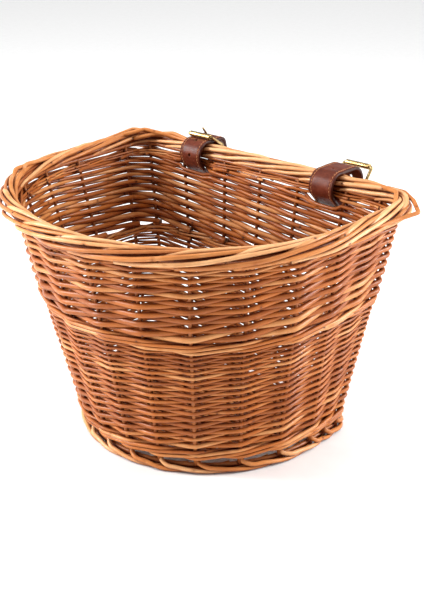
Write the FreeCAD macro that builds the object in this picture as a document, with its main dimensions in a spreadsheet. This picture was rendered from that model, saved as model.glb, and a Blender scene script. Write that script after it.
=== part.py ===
import FreeCAD, Part
import math
import os
import Sketcher
from FreeCAD import Placement, Rotation, Vector

# D-shaped willow handlebar basket with two leather straps and brass roller buckles.
# Millimetres, +Z up, the flat back at +Y, the curved front at -Y, the foot on z = 0.

doc = FreeCAD.newDocument("handlebar_basket")

# ---------------------------------------------------------------- driving sizes
SIZES = [
    ("rim_half_width", 175), ("rim_depth", 278), ("rim_front_radius", 190), ("rim_corner", 30),
    ("rim_height", 238), ("rim_rod_width", 18), ("rim_rod_height", 13), ("rim_overhang", 5),
    ("foot_half_width", 123), ("foot_depth", 186), ("foot_front_radius", 117), ("foot_corner", 22),
    ("foot_set_in", 28), ("foot_rod_width", 14), ("foot_rod_height", 10),
    ("front_arc_half_angle", 30), ("back_line", 119.6),
    ("wall_thickness", 10), ("stake_diameter", 5), ("stake_clearance", 0.2),
    ("stake_count", 22), ("stake_shift", -6), ("strap_nudge", 9),
    ("corner_draw", 9), ("side_drift", 13),
    ("upset_low", 14), ("upset_top", 30), ("middle_low", 138), ("middle_top", 152), ("wale_low", 222),
    ("base_low", 16), ("base_thickness", 8), ("base_clearance", 0.3),
    ("base_stick_diameter", 5), ("base_stick_count", 7), ("base_stick_gap", 32),
    ("base_stick_end", 6),
    ("strap_width", 27), ("strap_thickness", 3), ("left_strap_x", -91.5), ("right_strap_x", 76.0),
    ("slot_clearance", 2.4), ("slot_side_gap", 1), ("slot_reach", 34),
    ("border_wrap_radius", 12.2), ("border_wrap_in", 3), ("border_wrap_down", 4.5),
    ("bar_radius", 12.9), ("bar_out", 12.7), ("bar_down", 20),
    ("wire_radius", 1.6), ("pin_clearance", 0.06), ("leather_clearance", 0.3),
    ("buckle_length", 21), ("buckle_width", 32.2), ("buckle_corner", 2),
    ("roller_radius", 2.8), ("roller_gap", 0.3),
    ("prong_width", 3), ("prong_thickness", 2.2), ("prong_reach", 23), ("eye_wall", 1.4),
    ("thread_width", 0.9), ("thread_height", 0.2), ("stitch_inset", 3), ("hole_diameter", 3.2),
]
sheet = doc.addObject("Spreadsheet::Sheet", "Sheet")
for row, (name, value) in enumerate(SIZES, start=1):
    sheet.set(f"A{row}", name)
    sheet.set(f"B{row}", str(value))
    sheet.setAlias(f"B{row}", name)
doc.recompute()


def size(name):
    """A driving size, read back from the sheet."""
    return float(getattr(sheet, name))


KEPT = []


def keep(obj, label):
    """Name a finished sub-part after its node."""
    obj.Label = label
    KEPT.append(obj)
    return obj


def plane(body, role):
    return next(f for f in body.Origin.OriginFeatures if f.Role == role)


def add_sketch(body, name, role, offset=None):
    sketch = body.newObject("Sketcher::SketchObject", name)
    sketch.AttachmentSupport = [(plane(body, role), "")]
    sketch.MapMode = "FlatFace"
    if offset is not None:
        sketch.AttachmentOffset = offset
    return sketch


# ---------------------------------------------------------------- the D outline
# Every level of the basket is the same D: a front arc, two side arcs, straight sides,
# two back corners and a straight back. All sizes change evenly from foot to rim.
ANGLE = math.radians(size("front_arc_half_angle"))


def level(share, inset=0.0):
    """Sizes of the D at a share of the height: 0 at the foot and 1 at the rim."""
    def between(foot, rim):
        return foot + (rim - foot) * share

    half = between(size("foot_half_width"), size("rim_half_width"))
    front_r = between(size("foot_front_radius"), size("rim_front_radius"))
    side_r = (half - front_r * math.sin(ANGLE)) / (1 - math.sin(ANGLE))
    back = size("back_line") - size("foot_set_in") * (1 - share)
    depth = between(size("foot_depth"), size("rim_depth"))
    return {
        "half": half - inset, "front_r": front_r - inset, "side_r": side_r - inset,
        "corner": between(size("foot_corner"), size("rim_corner")) - inset,
        "back": back - inset, "front": back - depth + inset,
    }


def d_edges(share, inset=0.0):
    """The eight edges of the D in order from the front, as (kind, data) in the XY plane."""
    d = level(share, inset)
    front_c = (0.0, d["front"] + d["front_r"])
    reach = d["front_r"] - d["side_r"]
    side_y = front_c[1] - reach * math.cos(ANGLE)
    side_x = reach * math.sin(ANGLE)
    corner_x = d["half"] - d["corner"]
    corner_y = d["back"] - d["corner"]
    quarter = math.pi / 2
    return [
        ("arc", (front_c, d["front_r"], -quarter - ANGLE, -quarter + ANGLE)),
        ("arc", ((side_x, side_y), d["side_r"], -quarter + ANGLE, 0.0)),
        ("line", ((d["half"], side_y), (d["half"], corner_y))),
        ("arc", ((corner_x, corner_y), d["corner"], 0.0, quarter)),
        ("line", ((corner_x, d["back"]), (-corner_x, d["back"]))),
        ("arc", ((-corner_x, corner_y), d["corner"], quarter, 2 * quarter)),
        ("line", ((-d["half"], corner_y), (-d["half"], side_y))),
        ("arc", ((-side_x, side_y), d["side_r"], 2 * quarter, 3 * quarter - ANGLE)),
    ]


def edge_length(edge):
    kind, data = edge
    if kind == "arc":
        return data[1] * (data[3] - data[2])
    return math.dist(data[0], data[1])


def edge_point(edge, part):
    kind, data = edge
    if kind == "arc":
        centre, radius, start, stop = data
        turn = start + (stop - start) * part
        return centre[0] + radius * math.cos(turn), centre[1] + radius * math.sin(turn)
    (x0, y0), (x1, y1) = data
    return x0 + (x1 - x0) * part, y0 + (y1 - y0) * part


def draw(sketch, edges):
    """Draw edges into a sketch, in order, from (kind, data) pairs."""
    for kind, data in edges:
        if kind == "arc":
            (cx, cy), radius, start, stop = data
            circle = Part.Circle(Vector(cx, cy, 0), Vector(0, 0, 1), radius)
            sketch.addGeometry(Part.ArcOfCircle(circle, min(start, stop), max(start, stop)), False)
        else:
            (x0, y0), (x1, y1) = data
            sketch.addGeometry(Part.LineSegment(Vector(x0, y0, 0), Vector(x1, y1, 0)), False)


def rule(foot, rim, share, inset):
    """The expression for a size that changes evenly from foot to rim."""
    return f"Sheet.{foot} + (Sheet.{rim} - Sheet.{foot}) * {share:.6f} - {inset:.6f}"


def d_sketch(body, name, height, inset, share=None):
    """A D at one height of the wall, inset from its middle, dimensioned from the sheet."""
    if share is None:
        share = height / size("rim_height")
        inset = inset + size("rim_overhang") * share
    sketch = add_sketch(body, name, "XY_Plane", Placement(Vector(0, 0, height), Rotation()))
    draw(sketch, d_edges(share, inset))
    d = level(share, inset)
    tie = sketch.addConstraint
    for i in range(8):
        tie(Sketcher.Constraint("Tangent", i, 2, (i + 1) % 8, 1))
    tie(Sketcher.Constraint("Horizontal", 4))
    tie(Sketcher.Constraint("Vertical", 2))
    tie(Sketcher.Constraint("Vertical", 6))
    tie(Sketcher.Constraint("Equal", 1, 7))
    tie(Sketcher.Constraint("Equal", 3, 5))
    tie(Sketcher.Constraint("PointOnObject", 0, 3, -2))
    sized = [
        ("front_radius", Sketcher.Constraint("Radius", 0, d["front_r"]),
         rule("foot_front_radius", "rim_front_radius", share, inset)),
        ("corner", Sketcher.Constraint("Radius", 3, d["corner"]),
         rule("foot_corner", "rim_corner", share, inset)),
        ("half_width", Sketcher.Constraint("DistanceX", -1, 1, 2, 1, d["half"]),
         rule("foot_half_width", "rim_half_width", share, inset)),
        ("half_width_left", Sketcher.Constraint("DistanceX", 6, 1, -1, 1, d["half"]),
         rule("foot_half_width", "rim_half_width", share, inset)),
        ("back", Sketcher.Constraint("DistanceY", -1, 1, 4, 1, d["back"]),
         f"Sheet.back_line - Sheet.foot_set_in * {1 - share:.6f} - {inset:.6f}"),
        ("front", Sketcher.Constraint("DistanceY", 0, 3, -1, 1, -d["front"] - d["front_r"]),
         f"({rule('foot_depth', 'rim_depth', share, 0)}) + Sheet.foot_set_in * {1 - share:.6f}"
         f" - Sheet.back_line - ({rule('foot_front_radius', 'rim_front_radius', share, 0)})"),
        ("side_radius", Sketcher.Constraint("Radius", 1, d["side_r"]),
         f"(({rule('foot_half_width', 'rim_half_width', share, inset)})"
         f" - ({rule('foot_front_radius', 'rim_front_radius', share, inset)})"
         f" * sin(Sheet.front_arc_half_angle)) / (1 - sin(Sheet.front_arc_half_angle))"),
    ]
    for constraint_name, constraint, expression in sized:
        index = tie(constraint)
        sketch.renameConstraint(index, constraint_name)
        sketch.setExpression("Constraints." + constraint_name, expression)
    return sketch


def loft(body, kind, name, low, high):
    feature = body.newObject("PartDesign::" + kind, name)
    feature.Profile = low
    feature.Sections = [high]
    feature.Ruled = True
    return feature


def pipe(body, name, path, profile):
    feature = body.newObject("PartDesign::AdditivePipe", name)
    feature.Profile = profile
    feature.Spine = path
    return feature


def cut(base, tool, label):
    result = doc.addObject("Part::Cut", label + "_cut")
    result.Base = base
    result.Tool = tool
    return result


# ---------------------------------------------------------------- stakes
def stake_ends(low, high):
    """Where each stake starts and stops: nearly even steps at the rim, the same edge at the foot."""
    rim = d_edges(1.0, size("rim_overhang"))
    total = sum(edge_length(edge) for edge in rim)
    step = total / size("stake_count")
    # one stake stands close to the middle of the back
    back_middle = sum(edge_length(edge) for edge in rim[:4]) + edge_length(rim[4]) / 2
    # the straps push the second stake on either side of it outwards, the two stakes beside the
    # left back corner draw together, and those of the sides and front stand further round
    count = int(size("stake_count"))
    pushed = {2: size("strap_nudge"), 3: size("corner_draw"), 4: -size("corner_draw"),
              count - 4: size("side_drift") / 2, count - 2: -size("strap_nudge")}
    pushed.update({i: size("side_drift") for i in range(5, count - 4)})
    ends = []
    for i in range(count):
        run = (back_middle - size("stake_shift") + i * step + pushed.get(i, 0.0)) % total
        index = 0
        while run > edge_length(rim[index]):
            run -= edge_length(rim[index])
            index += 1
        part = run / edge_length(rim[index])
        points = []
        for height in (low, high):
            share = height / size("rim_height")
            edge = d_edges(share, size("rim_overhang") * share)[index]
            points.append(Vector(*edge_point(edge, part), height))
        ends.append(points)
    return ends


def rods(name, ends, diameter):
    """Round rods, each a cylinder from one point to another, as one compound."""
    links = []
    for i, (start, stop) in enumerate(ends):
        rod = doc.addObject("Part::Cylinder", f"{name}_{i + 1}")
        rod.setExpression("Radius", diameter + " / 2")
        rod.Height = start.distanceToPoint(stop)
        rod.Placement = Placement(start, Rotation(Vector(0, 0, 1), stop - start))
        links.append(rod)
    group = doc.addObject("Part::Compound", name)
    group.Links = links
    return group


STAKE_FOOT = 3.0
STAKE_TOP = size("rim_height") - 2.0
HOLE_PAST_END = 0.2
side_stakes = rods("stakes", stake_ends(STAKE_FOOT, STAKE_TOP), "Sheet.stake_diameter")
keep(side_stakes, "side_stakes")
stake_holes = rods("stake_holes",
                   stake_ends(STAKE_FOOT - HOLE_PAST_END, STAKE_TOP + HOLE_PAST_END),
                   "(Sheet.stake_diameter + 2 * Sheet.stake_clearance)")

# ---------------------------------------------------------------- woven wall, course by course
HALF_WALL = size("wall_thickness") / 2


def course(label, low, high):
    """One woven course of the wall: a D-shaped band, open inside, threaded by the stakes."""
    body = doc.addObject("PartDesign::Body", label + "_body")
    loft(body, "AdditiveLoft", label + "_outside",
         d_sketch(body, label + "_outer_low", low, -HALF_WALL),
         d_sketch(body, label + "_outer_high", high, -HALF_WALL))
    doc.recompute()
    loft(body, "SubtractiveLoft", label + "_inside",
         d_sketch(body, label + "_inner_low", low, HALF_WALL),
         d_sketch(body, label + "_inner_high", high, HALF_WALL))
    doc.recompute()
    return cut(body, stake_holes, label)


border_underside = size("rim_height") - size("rim_rod_height") / 2
bottom_wale = course("bottom_wale", size("upset_low"), size("upset_top"))
lower_weave = course("lower_weave", size("upset_top"), size("middle_low"))
middle_wale = course("middle_wale", size("middle_low"), size("middle_top"))
upper_weave = course("upper_weave", size("middle_top"), size("wale_low"))
top_wale = course("top_wale", size("wale_low"), border_underside)
for piece, label in ((bottom_wale, "bottom_wale"), (lower_weave, "lower_weave"),
                     (middle_wale, "middle_wale")):
    keep(piece, label)

# ---------------------------------------------------------------- rim and foot borders
def rounded_bar(sketch, width, height):
    """A bar section with flat faces above and below and round sides."""
    radius = height / 2
    reach = width / 2 - radius
    quarter = math.pi / 2
    draw(sketch, [
        ("arc", ((reach, 0), radius, -quarter, quarter)),
        ("line", ((reach, radius), (-reach, radius))),
        ("arc", ((-reach, 0), radius, quarter, 3 * quarter)),
        ("line", ((-reach, -radius), (reach, -radius))),
    ])
    for i in range(4):
        sketch.addConstraint(Sketcher.Constraint("Tangent", i, 2, (i + 1) % 4, 1))


def border(label, height, share, width, thickness):
    """A closed ring of border rods laid along the D, as one rounded bar."""
    body = doc.addObject("PartDesign::Body", label + "_body")
    path = d_sketch(body, label + "_path", height, 0.0, share)
    start = edge_point(d_edges(share)[0], 0.0)
    out = Vector(-math.sin(ANGLE), -math.cos(ANGLE), 0)
    upright = Vector(0, 0, 1)
    stand = Rotation(out, upright, out.cross(upright), "XYZ")
    section = add_sketch(body, label + "_section", "XY_Plane",
                         Placement(Vector(*start, height), stand))
    rounded_bar(section, size(width), size(thickness))
    sized = [
        ("section_radius", Sketcher.Constraint("Radius", 0, size(thickness) / 2),
         f"Sheet.{thickness} / 2"),
        ("section_width", Sketcher.Constraint("DistanceX", 2, 3, 0, 3,
                                              size(width) - size(thickness)),
         f"Sheet.{width} - Sheet.{thickness}"),
    ]
    for name, constraint, expression in sized:
        index = section.addConstraint(constraint)
        section.renameConstraint(index, name)
        section.setExpression("Constraints." + name, expression)
    section.addConstraint(Sketcher.Constraint("Horizontal", 1))
    pipe(body, label + "_ring", path, section)
    doc.recompute()
    return cut(body, stake_holes, label)


rim_border = border("rim_border", size("rim_height"), 1.0, "rim_rod_width", "rim_rod_height")
keep(rim_border, "rim_border")
foot_border = border("foot_border", size("foot_rod_height") / 2, 0.0,
                     "foot_rod_width", "foot_rod_height")
keep(foot_border, "foot_border")

# ---------------------------------------------------------------- base
base_middle = size("base_low") + size("base_thickness") / 2
base_inset = HALF_WALL + size("base_clearance")
base_share = base_middle / size("rim_height")
base_outline = level(base_share, size("rim_overhang") * base_share + base_inset)
# the outer sticks lie where the side arcs, tighter than the front arc, close in
SIDE_ARC_CLOSING = 1.25
stick_ends = []
for i in range(int(size("base_stick_count"))):
    x = (i - (size("base_stick_count") - 1) / 2) * size("base_stick_gap")
    radius = base_outline["front_r"]
    closing = SIDE_ARC_CLOSING * (radius - math.sqrt(radius ** 2 - x ** 2))
    stick_ends.append([
        Vector(x, base_outline["front"] + closing + size("base_stick_end"), base_middle),
        Vector(x, base_outline["back"] - size("base_stick_end"), base_middle),
    ])
base_sticks = rods("base_sticks_group", stick_ends, "Sheet.base_stick_diameter")
keep(base_sticks, "base_sticks")

base_body = doc.addObject("PartDesign::Body", "base_body")
base_top = size("base_low") + size("base_thickness")
loft(base_body, "AdditiveLoft", "base_panel",
     d_sketch(base_body, "base_low_outline", size("base_low"), base_inset),
     d_sketch(base_body, "base_top_outline", base_top, base_inset))
base_weave = cut(base_body, base_sticks, "base_weave")
keep(base_weave, "base_weave")

# ---------------------------------------------------------------- straps
# The loops are drawn in the YZ plane about the middle of the rim border: y is backwards and
# z is up. Each is a chain of circles that the leather's middle line wraps round in turn.
RIM_BACK = size("back_line")
RIM_MIDDLE = Vector(0, RIM_BACK, size("rim_height"))
HALF_LEATHER = size("strap_thickness") / 2
FOLD_RADIUS = size("wire_radius") + size("leather_clearance") + HALF_LEATHER
BORDER_WRAP = (-size("border_wrap_in"), -size("border_wrap_down"))
BAR = (size("bar_out"), -size("bar_down"))


def tangent(first, second):
    """Where the left-turning belt from one circle to the next leaves and meets them."""
    (c0, r0), (c1, r1) = first, second
    heading = math.atan2(c1[1] - c0[1], c1[0] - c0[0])
    return heading - math.acos((r0 - r1) / math.dist(c0, c1))


def belt(circles, first_turn, last_turn, lead_in, lead_out):
    """A chain of arcs and straights that wraps each circle counter-clockwise in turn."""
    turns = [first_turn]
    for first, second in zip(circles, circles[1:]):
        turns.append(tangent(first, second))
    turns.append(last_turn)

    def on(circle, turn):
        (cy, cz), radius = circle
        return cy + radius * math.cos(turn), cz + radius * math.sin(turn)

    def along(point, turn, distance):
        return point[0] - distance * math.sin(turn), point[1] + distance * math.cos(turn)

    edges = []
    start = on(circles[0], first_turn)
    if lead_in:
        edges.append(("line", (along(start, first_turn, -lead_in), start)))
    for i, circle in enumerate(circles):
        begin, end = turns[i], turns[i + 1]
        while end < begin:
            end += 2 * math.pi
        edges.append(("arc", (circle[0], circle[1], begin, end)))
        if i + 1 < len(circles):
            edges.append(("line", (on(circle, end), on(circles[i + 1], end))))
    if lead_out:
        stop = on(circles[-1], last_turn)
        edges.append(("line", (stop, along(stop, last_turn, lead_out))))
    return edges


# the buckle's heel bar, the radii of the wraps and the lengths of the free ends
LEFT_HEEL = (17.3, 2.4)
LEFT_TAIL_RADIUS = FOLD_RADIUS + HALF_LEATHER * 2 + size("leather_clearance")
WRAP = size("border_wrap_radius") + HALF_LEATHER
SEAT = size("bar_radius") + HALF_LEATHER
LEFT_TAIL_LENGTH = 15.0
LEFT_RETURN_LENGTH = 7.0
RIGHT_HEEL = (32.0, -11.5)
RIGHT_CURVE = ((19.3, -6.0), 15.0)
RIGHT_RETURN_LENGTH = 8.0
RIGHT_TAIL_LENGTH = 14.0
RIGHT_TAIL_TURN = math.radians(30)
# the stitching starts short of the leather's ends and stops under the bar
STITCH_MARGIN = 3.0
STITCH_LAST_TURN = math.radians(-20)
RIGHT_STITCH_FIRST_TURN = math.radians(14)


def left_route(grow=0.0, end_at_bar=False):
    """The fastened loop: tail over the fold, over the border, round the bar and to the buckle."""
    tail = (LEFT_HEEL, LEFT_TAIL_RADIUS + grow)
    border_arc = (BORDER_WRAP, WRAP + grow)
    seat = (BAR, SEAT + grow)
    fold = (LEFT_HEEL, FOLD_RADIUS)
    back_turn = tangent((BAR, SEAT), fold)
    if end_at_bar:
        return belt([tail, border_arc, seat], back_turn, STITCH_LAST_TURN,
                    LEFT_TAIL_LENGTH - STITCH_MARGIN, 0)
    return belt([tail, border_arc, seat, fold], back_turn, math.pi,
                LEFT_TAIL_LENGTH, LEFT_RETURN_LENGTH)


def right_route(grow=0.0, end_at_bar=False):
    """The open loop: from the fold over the border and round the bar, with its tail tucked in."""
    curve = (RIGHT_CURVE[0], RIGHT_CURVE[1] + grow)
    border_arc = (BORDER_WRAP, WRAP + grow)
    seat = (BAR, SEAT + grow)
    if end_at_bar:
        return belt([curve, border_arc, seat], RIGHT_STITCH_FIRST_TURN, STITCH_LAST_TURN, 0, 0)
    return belt([(RIGHT_HEEL, FOLD_RADIUS), curve, border_arc, seat], math.pi, RIGHT_TAIL_TURN,
                RIGHT_RETURN_LENGTH, RIGHT_TAIL_LENGTH)


def route_start(edges):
    """Start point and heading of a route."""
    kind, data = edges[0]
    if kind == "line":
        (y0, z0), (y1, z1) = data
        return (y0, z0), math.atan2(z1 - z0, y1 - y0)
    centre, radius, start, stop = data
    y, z = centre[0] + radius * math.cos(start), centre[1] + radius * math.sin(start)
    return (y, z), start + math.pi / 2


def route_sketch(body, name, edges):
    sketch = add_sketch(body, name, "YZ_Plane")
    draw(sketch, edges)
    for i in range(len(edges) - 1):
        sketch.addConstraint(Sketcher.Constraint("Coincident", i, 2, i + 1, 1))
    for i in range(len(edges)):
        sketch.addConstraint(Sketcher.Constraint("Block", i))
    return sketch


def flat_section(body, name, edges, width, thickness, middle=0.0):
    """A flat leather or thread section, square to the start of its route."""
    (y, z), heading = route_start(edges)
    turn = Rotation(Vector(1, 0, 0), math.degrees(heading) - 90)
    sketch = add_sketch(body, name, "XY_Plane", Placement(Vector(0, y, z), turn))
    half, deep = size(width) / 2, size(thickness) / 2
    left, right = middle - half, middle + half
    corners = [(left, -deep), (right, -deep), (right, deep), (left, deep)]
    for a, b in zip(corners, corners[1:] + corners[:1]):
        sketch.addGeometry(Part.LineSegment(Vector(*a, 0), Vector(*b, 0)), False)
    tie = sketch.addConstraint
    for i in range(4):
        tie(Sketcher.Constraint("Coincident", i, 2, (i + 1) % 4, 1))
    tie(Sketcher.Constraint("Horizontal", 0))
    tie(Sketcher.Constraint("Horizontal", 2))
    tie(Sketcher.Constraint("Vertical", 1))
    tie(Sketcher.Constraint("Vertical", 3))
    sized = [
        ("width", Sketcher.Constraint("DistanceX", 0, 1, 0, 2, 2 * half), f"Sheet.{width}"),
        ("thickness", Sketcher.Constraint("DistanceY", 1, 1, 1, 2, 2 * deep), f"Sheet.{thickness}"),
    ]
    for constraint_name, constraint, expression in sized:
        index = tie(constraint)
        sketch.renameConstraint(index, constraint_name)
        sketch.setExpression("Constraints." + constraint_name, expression)
    return sketch


def leather(label, edges):
    body = doc.addObject("PartDesign::Body", label + "_body")
    path = route_sketch(body, label + "_route", edges)
    section = flat_section(body, label + "_section", edges, "strap_width", "strap_thickness")
    pipe(body, label + "_leather", path, section)
    return body


def block(label, low, high):
    """A cutting block from its low corner to its high corner."""
    box = doc.addObject("Part::Box", label)
    box.Length, box.Width, box.Height = high[0] - low[0], high[1] - low[1], high[2] - low[2]
    box.Placement = Placement(Vector(*low), Rotation())
    return box


PUNCH_PAST_FACE = 1.0


def punch(label, angles):
    """Round punched holes through the leather over the border, at angles about the border wrap."""
    pins = []
    for i, angle in enumerate(angles):
        pin = doc.addObject("Part::Cylinder", f"{label}_{i + 1}")
        pin.setExpression("Radius", "Sheet.hole_diameter / 2")
        pin.Height = size("strap_thickness") + 2 * PUNCH_PAST_FACE
        turn = math.radians(angle)
        out = Vector(0, math.cos(turn), math.sin(turn))
        foot = Vector(0, *BORDER_WRAP) + out * (size("border_wrap_radius") - PUNCH_PAST_FACE)
        pin.Placement = Placement(foot, Rotation(Vector(0, 0, 1), out))
        pins.append(pin)
    return pins


def place(obj, x, y=0.0, z=0.0, turn=0.0):
    """Put a strap piece at its strap's x, at y and z from the border's middle, turned about X."""
    obj.Placement = Placement(RIM_MIDDLE + Vector(x, y, z), Rotation(Vector(1, 0, 0), turn))


def strap(label, x, edges, blocks, hole_angles):
    tools = doc.addObject("Part::Compound", label + "_tools")
    tools.Links = blocks + punch(label + "_punch", hole_angles)
    result = cut(leather(label, edges), tools, label)
    place(result, x)
    return keep(result, label)


# the slots that the prongs work in: across the strap, then from front to back and low to high
PRONG_SIDE_GAP = 0.6
PRONG_HALF = size("prong_width") / 2 + PRONG_SIDE_GAP
LEFT_TAIL_HOLES = [178, 105]
RIGHT_TAIL_HOLES = [70]
strap("left_strap", size("left_strap_x"), left_route(), [
    block("left_tail_slot", (-PRONG_HALF, 6.6, 7.46), (PRONG_HALF, 16.4, 12.0)),
    block("left_fold_slot", (-PRONG_HALF, 10.5, -1.2), (PRONG_HALF, 20.9, 7.45)),
], LEFT_TAIL_HOLES)
strap("right_strap", size("right_strap_x"), right_route(), [
    block("right_fold_slot", (-PRONG_HALF, 26.4, -17.0), (PRONG_HALF, 37.9, -2.0)),
], RIGHT_TAIL_HOLES)


def stitching(label, x, edges):
    """Two raised lines of thread that follow the leather's outer face."""
    lines = []
    for side in (-1, 1):
        body = doc.addObject("PartDesign::Body", f"{label}_{'left' if side < 0 else 'right'}")
        path = route_sketch(body, body.Name + "_route", edges)
        middle = side * (size("strap_width") / 2 - size("stitch_inset"))
        section = flat_section(body, body.Name + "_section", edges,
                               "thread_width", "thread_height", middle)
        half = size("thread_width") / 2
        deep = size("thread_height") / 2
        section.addConstraint(Sketcher.Constraint("DistanceX", -1, 1, 0, 1, middle - half))
        section.addConstraint(Sketcher.Constraint("DistanceY", 0, 1, -1, 1, deep))
        pipe(body, body.Name + "_thread", path, section)
        lines.append(body)
    group = doc.addObject("Part::Compound", label + "_lines")
    group.Links = lines
    place(group, x)
    return keep(group, label)


THREAD_LIFT = HALF_LEATHER + size("thread_height") / 2
stitching("left_strap_stitching", size("left_strap_x"), left_route(THREAD_LIFT, True))
stitching("right_strap_stitching", size("right_strap_x"), right_route(THREAD_LIFT, True))

# ---------------------------------------------------------------- slots through the wall
def wall_slot(label, x):
    """The gap parted between weavers where a strap passes down and back through the wall."""
    turn = tangent((BORDER_WRAP, WRAP), (BAR, SEAT))
    leaves = [(c[0] + r * math.cos(turn), c[1] + r * math.sin(turn))
              for c, r in ((BORDER_WRAP, WRAP), (BAR, SEAT))]
    middle = Vector(0, (leaves[0][0] + leaves[1][0]) / 2, (leaves[0][1] + leaves[1][1]) / 2)
    width = size("strap_width") + 2 * size("slot_side_gap")
    length = size("slot_reach")
    height = size("strap_thickness") + 2 * size("slot_clearance")
    box = doc.addObject("Part::Box", label)
    box.Length, box.Width, box.Height = width, length, height
    spin = Rotation(Vector(1, 0, 0), math.degrees(turn) + 90)
    corner = spin.multVec(Vector(-width / 2, -length / 2, -height / 2))
    box.Placement = Placement(RIM_MIDDLE + middle + Vector(x, 0, 0) + corner, spin)
    return box


slots = doc.addObject("Part::Compound", "strap_slots")
slots.Links = [wall_slot("left_slot", size("left_strap_x")),
               wall_slot("right_slot", size("right_strap_x"))]
keep(cut(upper_weave, slots, "upper_weave_slotted"), "upper_weave")
keep(cut(top_wale, slots, "top_wale_slotted"), "top_wale")

# ---------------------------------------------------------------- buckles
def buckle_frame(label, x, heel, turn):
    """A brass wire rectangle: its heel bar lies in the leather's fold, its front bar in the roller."""
    body = doc.addObject("PartDesign::Body", label + "_body")
    half = size("buckle_width") / 2
    length = size("buckle_length")
    corner = size("buckle_corner")
    quarter = math.pi / 2
    edges = [
        ("line", ((-half + corner, 0), (half - corner, 0))),
        ("arc", ((half - corner, -corner), corner, 0, quarter)),
        ("line", ((half, -corner), (half, corner - length))),
        ("arc", ((half - corner, corner - length), corner, -quarter, 0)),
        ("line", ((half - corner, -length), (corner - half, -length))),
        ("arc", ((corner - half, corner - length), corner, 2 * quarter, 3 * quarter)),
        ("line", ((-half, corner - length), (-half, -corner))),
        ("arc", ((corner - half, -corner), corner, quarter, 2 * quarter)),
    ]
    path = add_sketch(body, label + "_path", "XY_Plane")
    draw(path, edges)
    for i in range(8):
        path.addConstraint(Sketcher.Constraint("Block", i))
    section = add_sketch(body, label + "_wire", "YZ_Plane",
                         Placement(Vector(0, 0, corner - half), Rotation()))
    section.addGeometry(Part.Circle(Vector(0, 0, 0), Vector(0, 0, 1), size("wire_radius")), False)
    section.addConstraint(Sketcher.Constraint("Coincident", 0, 3, -1, 1))
    index = section.addConstraint(Sketcher.Constraint("Radius", 0, size("wire_radius")))
    section.renameConstraint(index, "wire")
    section.setExpression("Constraints.wire", "Sheet.wire_radius")
    pipe(body, label + "_bar", path, section)
    place(body, x, *heel, turn)
    return keep(body, label)


def buckle_roller(label, x, heel, turn):
    """A brass tube that turns on the frame's front bar."""
    body = doc.addObject("PartDesign::Body", label + "_body")
    section = add_sketch(body, label + "_section", "YZ_Plane")
    sized = [("outside", size("roller_radius"), "Sheet.roller_radius"),
             ("inside", size("wire_radius") + size("pin_clearance"),
              "Sheet.wire_radius + Sheet.pin_clearance")]
    for i, (name, radius, expression) in enumerate(sized):
        section.addGeometry(Part.Circle(Vector(0, 0, 0), Vector(0, 0, 1), radius), False)
        section.addConstraint(Sketcher.Constraint("Coincident", i, 3, -1, 1))
        index = section.addConstraint(Sketcher.Constraint("Radius", i, radius))
        section.renameConstraint(index, name)
        section.setExpression("Constraints." + name, expression)
    tube = body.newObject("PartDesign::Pad", label + "_tube")
    tube.Profile = section
    tube.Midplane = True
    tube.setExpression("Length", "Sheet.buckle_width - 2 * (Sheet.buckle_corner + Sheet.roller_gap)")
    doc.recompute()
    reach = Rotation(Vector(1, 0, 0), turn).multVec(Vector(0, -size("buckle_length"), 0))
    place(body, x, heel[0] + reach.y, heel[1] + reach.z, turn)
    return keep(body, label)


def buckle_prong(label, x, heel, turn):
    """A brass prong: an eye round the heel bar and a straight tongue with a rounded tip."""
    body = doc.addObject("PartDesign::Body", label + "_body")
    section = add_sketch(body, label + "_outline", "YZ_Plane")
    eye = size("wire_radius") + size("pin_clearance")
    ring = eye + size("eye_wall")
    half = size("prong_thickness") / 2
    start = math.asin(half / ring)
    tip = half - size("prong_reach")
    root = -ring * math.cos(start)
    draw(section, [
        ("arc", ((0, 0), ring, -math.pi + start, math.pi - start)),
        ("line", ((root, half), (tip, half))),
        ("arc", ((tip, 0), half, math.pi / 2, 3 * math.pi / 2)),
        ("line", ((tip, -half), (root, -half))),
    ])
    section.addGeometry(Part.Circle(Vector(0, 0, 0), Vector(0, 0, 1), eye), False)
    for i in range(5):
        section.addConstraint(Sketcher.Constraint("Block", i))
    tongue = body.newObject("PartDesign::Pad", label + "_tongue")
    tongue.Profile = section
    tongue.Midplane = True
    tongue.setExpression("Length", "Sheet.prong_width")
    doc.recompute()
    place(body, x, *heel, turn)
    return keep(body, label)


LEFT_FRAME_TURN = -32.9
LEFT_PRONG_TURN = -53.0
RIGHT_FRAME_TURN = -128.0
RIGHT_PRONG_TURN = 95.0
for side, heel, frame_turn, prong_turn in (
        ("left", LEFT_HEEL, LEFT_FRAME_TURN, LEFT_PRONG_TURN),
        ("right", RIGHT_HEEL, RIGHT_FRAME_TURN, RIGHT_PRONG_TURN)):
    strap_x = size(side + "_strap_x")
    buckle_frame(side + "_buckle_frame", strap_x, heel, frame_turn)
    buckle_roller(side + "_buckle_roller", strap_x, heel, frame_turn)
    buckle_prong(side + "_buckle_prong", strap_x, heel, prong_turn)

# ---------------------------------------------------------------- check and write
doc.recompute()
for obj in doc.Objects:
    if "Invalid" in obj.State or "Error" in obj.State:
        raise RuntimeError(f"{obj.Label} failed: {obj.State}")
os.makedirs("parts", exist_ok=True)
whole = FreeCAD.BoundBox()
for obj in KEPT:
    if obj.Shape.isNull() or not obj.Shape.isValid():
        raise RuntimeError(f"{obj.Label} has no valid shape")
    print(f"{obj.Label:24s} {len(obj.Shape.Solids):3d} solids {obj.Shape.Volume / 1000:9.2f} cm3")
    obj.Shape.exportStep(f"parts/{obj.Label}.step")
    whole.add(obj.Shape.BoundBox)
print("whole object:", whole)
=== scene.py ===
import math
import random

import bpy
import numpy as np
from mathutils import Matrix, Vector


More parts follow.
